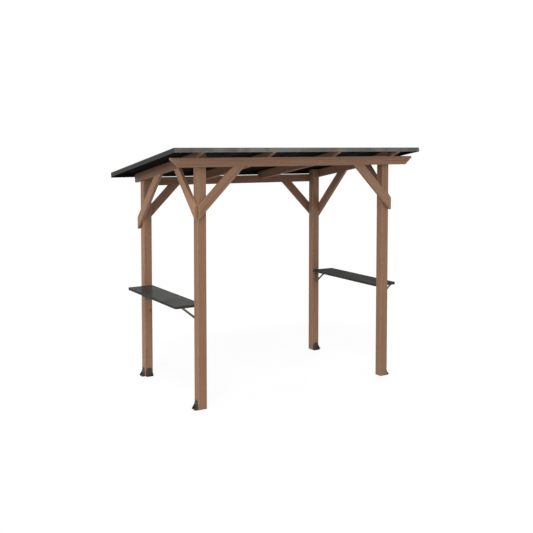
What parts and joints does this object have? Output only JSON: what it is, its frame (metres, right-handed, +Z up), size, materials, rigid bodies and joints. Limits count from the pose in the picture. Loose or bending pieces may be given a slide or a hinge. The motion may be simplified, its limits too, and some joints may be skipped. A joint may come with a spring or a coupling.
{
  "type": "garden gazebo",
  "caption": "Open timber garden gazebo for an outdoor grill, with square posts, knee braces, a single-slope sheet-steel roof on rafters and a steel side shelf at each end.",
  "frame": {"origin": "on the ground in the middle of the plan of the posts, which is the centre of the outer anchor holes", "axes": "+Z up, +X to the right and along the long side, +Y from the high front edge to the low back edge"},
  "size_m": [2.772, 1.561, 2.3822],
  "materials": {
    "cedar": "brown-stained planed cedar",
    "roof_steel": "matt dark grey coating",
    "shelf_steel": "satin charcoal powder coat",
    "anchor_steel": "satin black coating"
  },
  "bodies": {
    "root": {"front_left_post": "cedar", "front_right_post": "cedar", "back_left_post": "cedar", "back_right_post": "cedar", "front_left_outer_anchor": "anchor_steel", "front_right_outer_anchor": "anchor_steel", "back_left_outer_anchor": "anchor_steel", "back_right_outer_anchor": "anchor_steel", "back_left_inner_anchor": "anchor_steel", "back_right_inner_anchor": "anchor_steel", "front_beam": "cedar", "back_beam": "cedar", "left_rafter": "cedar", "inner_left_rafter": "cedar", "inner_right_rafter": "cedar", "right_rafter": "cedar", "front_left_brace": "cedar", "front_right_brace": "cedar", "back_left_brace": "cedar", "back_right_brace": "cedar", "left_front_side_brace": "cedar", "right_front_side_brace": "cedar", "left_back_side_brace": "cedar", "right_back_side_brace": "cedar", "left_shelf": "shelf_steel", "right_shelf": "shelf_steel", "front_left_shelf_bracket": "shelf_steel", "front_right_shelf_bracket": "shelf_steel", "back_left_shelf_bracket": "shelf_steel", "back_right_shelf_bracket": "shelf_steel", "left_end_panel": "roof_steel", "left_panel": "roof_steel", "middle_panel": "roof_steel", "right_panel": "roof_steel", "right_end_panel": "roof_steel", "left_seam_rail": "roof_steel", "inner_left_seam_rail": "roof_steel", "inner_right_seam_rail": "roof_steel", "right_seam_rail": "roof_steel", "front_trim": "roof_steel", "back_trim": "roof_steel", "left_trim": "roof_steel", "right_trim": "roof_steel"}
  },
  "joints": []
}
